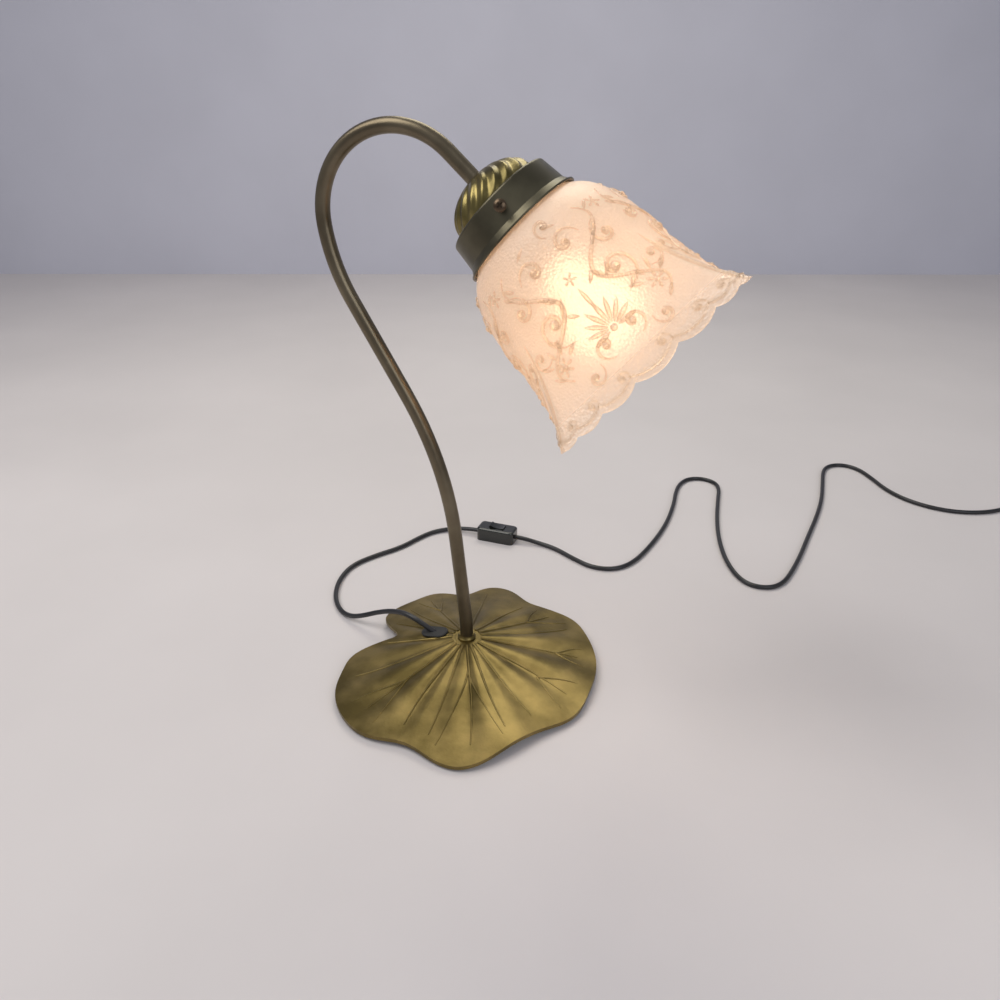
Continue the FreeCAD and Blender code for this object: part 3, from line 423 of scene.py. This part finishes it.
# ---- glass ---------------------------------------------------------------------------
@dataclass
class GlassRelief:
    """Pressed scrolls, fans and flowers on the outside of the shade."""

    node: bpy.types.Object
    origin: Vector = field(default_factory=lambda: STEM + Vector((13.73, 0.0, 430.15)) * MM)
    slope: float = -42.0
    panel: float = -19.7
    mouth: float = 181.3
    half: float = 81.3
    scallops: tuple[float, ...] = (8.5, 19.0, 31.0, 37.0, 29.0, 22.0, 16.1)
    boldness: float = 1.35
    tree: BVHTree = field(init=False)

    def __post_init__(self) -> None:
        """Prepares the head's axes and the search tree of the glass."""
        a = math.radians(self.slope)
        self.axis = Vector((math.cos(a), 0.0, math.sin(a)))
        self.across = Vector((0.0, -1.0, 0.0))
        self.down = self.axis.cross(self.across)
        self.tree = tree_of(self.node)

    def place(self, t: float, radius: float, bearing: float) -> Vector:
        """Point from its distance along the head axis, radius and bearing, in millimetres and degrees."""
        b = math.radians(bearing)
        way = self.across * math.cos(b) + self.down * math.sin(b)
        return self.origin + (self.axis * t + way * radius) * MM

    def on_glass(self, t: float, bearing: float, lift: float = 0.0) -> Vector | None:
        """Finds the outside of the glass.

        Args:
            t: Distance along the head axis, in millimetres.
            bearing: Degrees round the axis, from the front of the panel.
            lift: Distance out of the surface, in metres.

        Returns:
            The point, or None off the glass.
        """
        outside = self.place(t, 170.0, bearing)
        inward = (self.place(t, 0.0, bearing) - outside).normalized()
        hit, normal, _, _ = self.tree.ray_cast(outside, inward, 0.17)
        if hit is None or (self.place(t, 0.0, bearing) - hit).length < 0.036:
            return None
        return hit + normal * lift

    def patch(self, t: float, bearing: float, u: float, v: float, lift: float = 0.0) -> Vector | None:
        """Point beside a spot of the glass: u mm across towards the front's left, v mm towards the mouth."""
        here = self.on_glass(t, bearing)
        if here is None:
            return None
        radius = (here - self.place(t, 0.0, bearing)).length / MM
        return self.on_glass(t + v, bearing + math.degrees(u / radius), lift)

    def stroke(self, spots: list[Vector | None], thick: float, taper: tuple[float, float]) -> list[bpy.types.Object]:
        """Draws a raised line through spots, thickest between its ends.

        Args:
            spots: Points on the glass.
            thick: Radius in millimetres.
            taper: Shares of the radius at both ends.

        Returns:
            A list of one curve, or an empty one.
        """
        points = [p for p in spots if p is not None]
        if len(points) < 4:
            return []
        count = len(points) - 1
        widths = []
        for k in range(count + 1):
            s = k / count
            ends = taper[0] * (1 - s) + taper[1] * s
            widths.append(ends + (1 - ends) * math.sin(math.pi * s) ** 0.8)
        return [smooth_line("stroke", points, thick * MM, widths, 1)]

    def scroll(self, t: float, bearing: float, size: float, turn: float, side: Side, thick: float = 1.3,
               tail: float = 1.6) -> list[bpy.types.Object]:
        """Draws a C-scroll that winds up to a curl with a bead in its eye.

        Args:
            t: Place of the eye along the axis.
            bearing: Bearing of the eye.
            size: Radius of the curl.
            turn: Degrees by which the whole scroll is turned.
            side: Which way it winds.
            thick: Radius of the line.
            tail: Length of the tail over the curl's size.

        Returns:
            The curves.
        """
        spots = []
        steps = 26
        size *= self.boldness
        for k in range(steps + 1):
            s = k / steps
            radius = size * (0.16 + 0.84 * s ** 1.25 + tail * max(0.0, s - 0.62) ** 1.3)
            a = math.radians(turn) + side.value * s * 2.35 * math.pi
            spots.append(self.patch(t, bearing, radius * math.cos(a), radius * math.sin(a), 0.1 * MM))
        made = self.stroke(spots, thick, (0.9, 0.25))
        return made + self.bead(t, bearing, 0.26 * size + 0.5)

    def bead(self, t: float, bearing: float, size: float) -> list[bpy.types.Object]:
        """Raises a round bead, or nothing off the glass."""
        spot = self.on_glass(t, bearing)
        if spot is None:
            return []
        bpy.ops.mesh.primitive_uv_sphere_add(segments=12, ring_count=8, radius=size * MM, location=spot)
        return [bpy.context.active_object]

    def petal(self, t: float, bearing: float, turn: float, start: float, length: float,
              width: float) -> list[bpy.types.Object]:
        """Raises one leaf-shaped petal that points away from a spot."""
        spots = []
        for k in range(6):
            reach = start + length * k / 5
            a = math.radians(turn)
            spots.append(self.patch(t, bearing, reach * math.cos(a), reach * math.sin(a), -0.25 * width * MM))
        return self.stroke(spots, width, (0.25, 0.15))

    def flower(self, t: float, bearing: float, petals: int, size: float) -> list[bpy.types.Object]:
        """Raises a flower of petals round a bead."""
        made = self.bead(t, bearing, 0.3 * size)
        for k in range(petals):
            made += self.petal(t, bearing, 360 * k / petals + 12, 0.3 * size, 0.75 * size, 0.2 * size)
        return made

    def fan(self, t: float, bearing: float) -> list[bpy.types.Object]:
        """Raises the palmette in the middle of a panel."""
        made = self.bead(t, bearing, 2.6)
        for k in range(9):
            turn = -90 + (k - 4) * 24
            made += self.petal(t, bearing, turn, 3.5, 19 - 1.2 * abs(k - 4), 1.9)
        for side in Side:
            made += self.scroll(t + 5, bearing + side.value * 9, 5.5, 90 - side.value * 60, side, 1.3, 1.2)
        return made

    def vine(self, bearing: float, side: Side) -> list[bpy.types.Object]:
        """Raises a wavy stem with leaves that runs from the fan up to the neck.

        Args:
            bearing: Middle of the panel.
            side: Which half of the panel it takes.

        Returns:
            The curves.
        """
        made, spots = [], []
        steps = 24
        for k in range(steps + 1):
            u = k / steps
            t = 154 - 84 * u
            off = side.value * (24 + 12 * math.sin(2.6 * math.pi * u + 0.6))
            spots.append(self.on_glass(t, bearing + off, 0.1 * MM))
            if k % 3 == 1:
                out = 0 if k % 2 else 180
                made += self.petal(t, bearing + off, out - 40 * side.value, 0.6, 9.5, 1.6)
        return made + self.stroke(spots, 1.5, (0.5, 0.3))

    def border(self, quarter: int) -> list[bpy.types.Object]:
        """Raises the scroll that follows each scallop of one side.

        Args:
            quarter: Which side of the mouth.

        Returns:
            The curves.
        """
        made = []
        middle = self.panel + 90 * quarter
        at = -self.half
        for width in self.scallops:
            spots = []
            for k in range(15):
                s = k / 14
                along = at + width * s
                bearing = middle + math.degrees(math.atan2(along, self.half))
                rise = 0.6 * width * s * (1 - s)
                spots.append(self.on_glass(self.mouth + rise - 5.2, bearing, 0.1 * MM))
            made += self.stroke(spots, 1.25, (0.5, 0.8))
            if width > 12:
                bearing = middle + math.degrees(math.atan2(at + 0.16 * width, self.half))
                made += self.scroll(self.mouth - 7.5, bearing, 0.075 * width + 1.2, 200, Side.LEFT, 1.0, 0.5)
            at += width
        return made

    def panel_work(self, quarter: int) -> list[bpy.types.Object]:
        """Raises the ornament of one panel.

        Args:
            quarter: Which panel.

        Returns:
            The curves and beads.
        """
        m = self.panel + 90 * quarter
        made = self.fan(146, m)
        for side in Side:
            s = side.value
            made += self.vine(m, side)
            made += self.flower(143, m + s * 31, 6, 6.5)
            for k, turn in enumerate((-150, -110, -70, -30)):
                made += self.petal(143, m + s * 31, turn, 8, 9 + 2 * (k % 2), 1.6)
            made += self.scroll(118, m + s * 22, 9.0, 40 if s > 0 else 140, side, 1.5, 1.7)
            made += self.scroll(97, m + s * 33, 6.5, 210 if s > 0 else -30, side, 1.4, 1.5)
            made += self.scroll(84, m + s * 12, 6.0, -60 if s > 0 else 240, side, 1.4, 1.9)
            made += self.scroll(162, m + s * 22, 4.6, 150 if s > 0 else 30, side, 1.2, 1.4)
            made += self.scroll(128, m + s * 40, 4.6, 80 if s > 0 else 100, side, 1.2, 1.6)
            made += self.petal(108, m + s * 10, 90 - s * 35, 0, 16, 1.5)
            made += self.petal(66, m + s * 8, 90 - s * 60, 0, 10, 1.4)
        made += self.flower(76, m + 45, 5, 6.0)
        made += self.scroll(66, m - 10, 4.5, 0, Side.RIGHT, 1.3, 1.4)
        made += self.flower(104, m, 5, 4.6)
        made += self.petal(112, m, 90, 0, 18, 1.6)
        return made

    def corner_ribs(self) -> list[bpy.types.Object]:
        """Raises the thick bar that runs down each corner to its tip."""
        made = []
        for quarter in range(4):
            bearing = self.panel + 45 + 90 * quarter
            spots = [self.on_glass(112 + 4.8 * k, bearing, -0.5 * MM) for k in range(15)]
            made += self.stroke(spots, 1.8, (0.3, 0.9))
        return made

    def build(self, relief: bpy.types.Material, rim: bpy.types.Material) -> None:
        """Models the relief in one piece and the rim's border in another.

        Args:
            relief: Glass of the ornament.
            rim: Clear glass of the border.
        """
        work, border = [], []
        for quarter in range(4):
            work += self.panel_work(quarter)
            border += self.border(quarter)
        dressed(joined(work, "shade_scrollwork"), relief)
        dressed(joined(border + self.corner_ribs(), "shade_rim_border"), rim)


# ---- cords ---------------------------------------------------------------------------
@dataclass
class Cords:
    """The two stretches of the cord, which lie on the table."""

    diameter: float = 5.0
    floor: float = 2.5
    switch_x: float = -58.5
    switch_y: float = 232.0
    switch_half: float = 23.0
    inside: float = 5.0
    approach: float = 9.0
    plug: tuple[float, float] = (570.0, 603.0)
    plug_heading: float = 58.0

    def route_to_switch(self) -> list[tuple[float, float, float]]:
        """Route from the leaf's grommet to the switch, from the stem's foot, in millimetres."""
        f = self.floor
        return [
            (-38.72, 0, 26.15), (-50.17, 0, 32.31), (-66, 4, 34.5), (-84, 10, 29), (-103, 14.5, 20),
            (-121, 15, 11), (-138, 18, 4.5), (-156, 28, f), (-174, 50, f), (-186, 80, f), (-188, 112, f),
            (-174, 140, f), (-155, 167, f), (-145, 197, f), (-135, 218, f), (-115, 231.5, 3.6),
            (self.switch_x - self.switch_half - self.approach, self.switch_y, 7),
            (self.switch_x - self.switch_half + self.inside, self.switch_y, 7),
        ]

    def route_to_plug(self) -> list[tuple[float, float, float]]:
        """Route from the switch to the plug, from the stem's foot, in millimetres."""
        f = self.floor
        a = math.radians(self.plug_heading)
        waves = [
            (-8, 234, 3.4), (15, 230, f), (41, 215, f), (67, 203, f), (92, 208, f), (108, 230, f),
            (118, 274, f), (125, 332, f), (124, 392, f), (119, 434, f), (120, 462, f), (128, 480.5, f),
            (146, 488, f), (164.5, 480.5, f), (172, 462, f), (175, 430, f), (180, 384, f), (187, 340, f),
            (196, 302, f), (208, 267, f), (223.5, 239, f), (239.5, 227, f), (259, 230, f), (271, 246, f),
            (278, 274, f), (285, 318, f), (291, 370, f), (298, 425, f), (302, 480, f), (301, 532, f),
            (300, 578, f), (309, 598, f), (327, 606, f), (346, 598, f), (363, 573, f), (382, 537, f),
            (413, 509, f), (458, 498, f), (504, 514, f), (539, 552, f),
        ]
        start = [(self.switch_x + self.switch_half - self.inside, self.switch_y, 7),
                 (self.switch_x + self.switch_half + self.approach, self.switch_y, 7)]
        end = [(self.plug[0] + d * math.cos(a), self.plug[1] + d * math.sin(a), 7) for d in (-20, self.inside)]
        return start + waves + end

    def stretch(self, name: str, node: str, route: list[tuple[float, float, float]],
                material: bpy.types.Material) -> None:
        """Args:
            name: Name of the piece.
            node: Solid that it replaces.
            route: Control points.
            material: Its jacket.
        """
        points = [STEM + Vector(p) * MM for p in route]
        piece = smooth_line(name, points, 0.5 * self.diameter * MM, None, 4, 12)
        dressed(piece, material)
        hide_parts(node)

    def build(self, nodes: dict[str, bpy.types.Object], material: bpy.types.Material) -> None:
        """Lays both stretches.

        Args:
            nodes: The solids; not used.
            material: Black vinyl.
        """
        self.stretch("cord_to_switch", "cord_lamp_side", self.route_to_switch(), material)
        self.stretch("cord_to_plug", "cord_plug_side", self.route_to_plug(), material)


# ---- room ----------------------------------------------------------------------------
@dataclass
class Studio:
    """Pale table and backdrop, soft lamps and the camera."""

    eye: Vector = field(default_factory=lambda: STEM + Vector((263.1, -603.9, 494.8)) * MM)
    heading: tuple[float, float] = (-0.3556, 0.9347)
    pitch: float = 26.32
    lens: float = 30.6

    def camera(self) -> None:
        """Sets up the camera at the photograph's place."""
        bpy.ops.object.camera_add(location=self.eye)
        camera = bpy.context.active_object
        p = math.radians(self.pitch)
        look = Vector((self.heading[0] * math.cos(p), self.heading[1] * math.cos(p), -math.sin(p)))
        camera.rotation_euler = look.to_track_quat("-Z", "Y").to_euler()
        camera.data.lens = self.lens
        camera.data.sensor_width = 36.0
        camera.data.dof.use_dof = False
        bpy.context.scene.camera = camera

    def lamp(self, name: str, place: tuple[float, float, float], size: float, power: float,
             colour: tuple[float, float, float]) -> None:
        """Hangs a soft lamp that shines at the object.

        Args:
            name: Name of the lamp.
            place: Where it hangs, in metres.
            size: Side of its square face.
            power: Watts.
            colour: Its tint.
        """
        bpy.ops.object.light_add(type="AREA", location=place)
        light = bpy.context.active_object
        light.name = name
        light.data.shape = "SQUARE"
        light.data.size = size
        light.data.energy = power
        light.data.color = colour
        aim = Vector((0.05, 0.05, 0.2)) - Vector(place)
        light.rotation_euler = aim.to_track_quat("-Z", "Y").to_euler()

    def cloth(self, name: str, colour: tuple[float, float, float]) -> bpy.types.Material:
        """Matt pale cloth with faint folds."""
        return Finish(name, colour, tuple(min(1.0, c * 1.06) for c in colour), 0.0, 0.9, 3.0, 9.0, 0.12,
                      0.004).material()

    def build(self) -> None:
        """Makes the floor, the backdrop, the lamps and the camera."""
        bpy.ops.mesh.primitive_plane_add(size=6.0, location=(0.0, 0.0, -0.0002))
        floor = bpy.context.active_object
        floor.name = "table"
        floor.data.materials.append(self.cloth("table_cloth", (0.66, 0.62, 0.62)))
        bpy.ops.mesh.primitive_plane_add(size=6.0, location=(-0.5, 1.75, 1.0), rotation=(math.radians(90), 0, 0.36))
        backdrop = bpy.context.active_object
        backdrop.name = "backdrop"
        backdrop.data.materials.append(self.cloth("backdrop_cloth", (0.60, 0.60, 0.68)))
        self.lamp("key", (-0.9, -0.5, 1.6), 1.1, 16.0, (1.0, 0.97, 0.92))
        self.lamp("fill", (1.3, -0.9, 1.1), 1.2, 9.0, (0.92, 0.95, 1.0))
        self.lamp("back", (-0.3, 1.1, 1.5), 0.9, 9.0, (1.0, 0.96, 0.8))
        world = bpy.data.worlds.new("room")
        world.use_nodes = True
        world.node_tree.nodes["Background"].inputs["Color"].default_value = (0.62, 0.64, 0.7, 1.0)
        world.node_tree.nodes["Background"].inputs["Strength"].default_value = 0.45
        bpy.context.scene.world = world
        bpy.context.scene.view_settings.view_transform = "Standard"
        self.camera()


# ---- lit bulb ------------------------------------------------------------------------
def bulb_material() -> bpy.types.Material:
    """Soft white bulb, lit.

    Returns:
        The material, ready to assign.
    """
    made = bpy.data.materials.new("lit_bulb")
    made.use_nodes = True
    nodes, links = made.node_tree.nodes, made.node_tree.links
    shader = nodes["Principled BSDF"]
    shader.inputs["Base Color"].default_value = (1.0, 0.95, 0.86, 1.0)
    shader.inputs["Roughness"].default_value = 0.3
    shader.inputs["Emission Color"].default_value = (1.0, 0.78, 0.52, 1.0)
    shader.inputs["Emission Strength"].default_value = 2.6
    place = nodes.new("ShaderNodeTexCoord")
    frost = nodes.new("ShaderNodeTexNoise")
    frost.inputs["Scale"].default_value = 1200.0
    relief = nodes.new("ShaderNodeBump")
    relief.inputs["Strength"].default_value = 0.05
    links.new(place.outputs["Object"], frost.inputs["Vector"])
    links.new(frost.outputs["Fac"], relief.inputs["Height"])
    links.new(relief.outputs["Normal"], shader.inputs["Normal"])
    return made


def finish_nodes(nodes: dict[str, bpy.types.Object], materials: dict[str, bpy.types.Material]) -> None:
    """Gives each solid listed in NODE_FINISHES its finish, and the bulb its lit material.

    Args:
        nodes: The solids.
        materials: Built finishes by name.
    """
    for name, piece in nodes.items():
        if name in NODE_FINISHES:
            assign(piece, materials[NODE_FINISHES[name].name])
    assign(nodes["bulb_glass"], bulb_material())


def main() -> None:
    """Builds the looks of the lamp, piece by piece."""
    logging.basicConfig(level=logging.INFO)
    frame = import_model()
    bpy.ops.object.select_all(action="DESELECT")
    nodes = frame["nodes"]
    materials = {finish.name: finish.material() for finish in dict.fromkeys(NODE_FINISHES.values())}
    finish_nodes(nodes, materials)
    Studio().build()
    Cords().build(nodes, materials[VINYL.name])
    LeafFoot(nodes["base_leaf"]).build(materials[ANTIQUE_BRASS.name], DARK_VEIN_LINE.material())
    relief = GlassRelief(nodes["glass_shade"])
    bulb = relief.place(148.0, 0.0, 0.0)
    axes = (relief.origin, relief.axis)
    assign(nodes["glass_shade"], SHADE_GLASS.material(bulb, *axes))
    relief.build(RELIEF_GLASS.material(bulb, *axes), RIM_GLASS.material(bulb, *axes))


if __name__ == "__main__":
    main()
